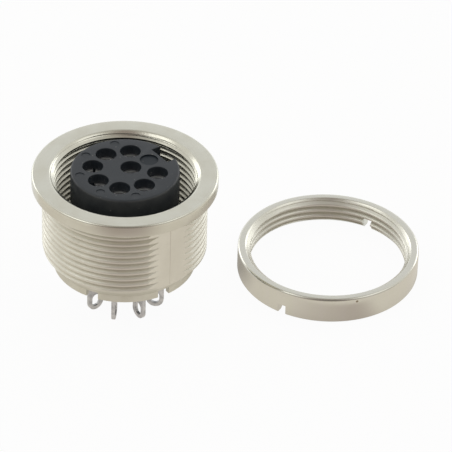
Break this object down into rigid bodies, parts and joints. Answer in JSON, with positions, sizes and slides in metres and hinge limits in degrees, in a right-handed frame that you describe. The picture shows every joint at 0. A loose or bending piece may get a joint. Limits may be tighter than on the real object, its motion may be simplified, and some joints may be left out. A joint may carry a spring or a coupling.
{
  "type": "panel receptacle",
  "caption": "Round screw-lock panel receptacle: flanged threaded shell, keyed socket insert with eyelet solder tags, and its slotted ring nut lying beside it.",
  "frame": {"origin": "on the receptacle's axis, in the plane of the flange's panel side", "axes": "+Z is the mating direction, +Y points to the insert's keyway, X crosses the flats of the panel thread"},
  "size_m": [0.0283, 0.0418, 0.0173],
  "materials": {
    "shell_plating": "semi-bright nickel plate on die-cast zinc",
    "insert_plastic": "moulded, fine satin",
    "contact_plating": "dull tin plate on bronze sheet",
    "nut_plating": "bright nickel plate on turned brass"
  },
  "bodies": {
    "root": {"shell": "shell_plating", "insert": "insert_plastic", "contact_1": "contact_plating", "contact_2": "contact_plating", "contact_3": "contact_plating", "contact_4": "contact_plating", "contact_5": "contact_plating", "contact_6": "contact_plating", "contact_7": "contact_plating", "contact_8": "contact_plating", "ring_nut": "nut_plating"}
  },
  "joints": []
}
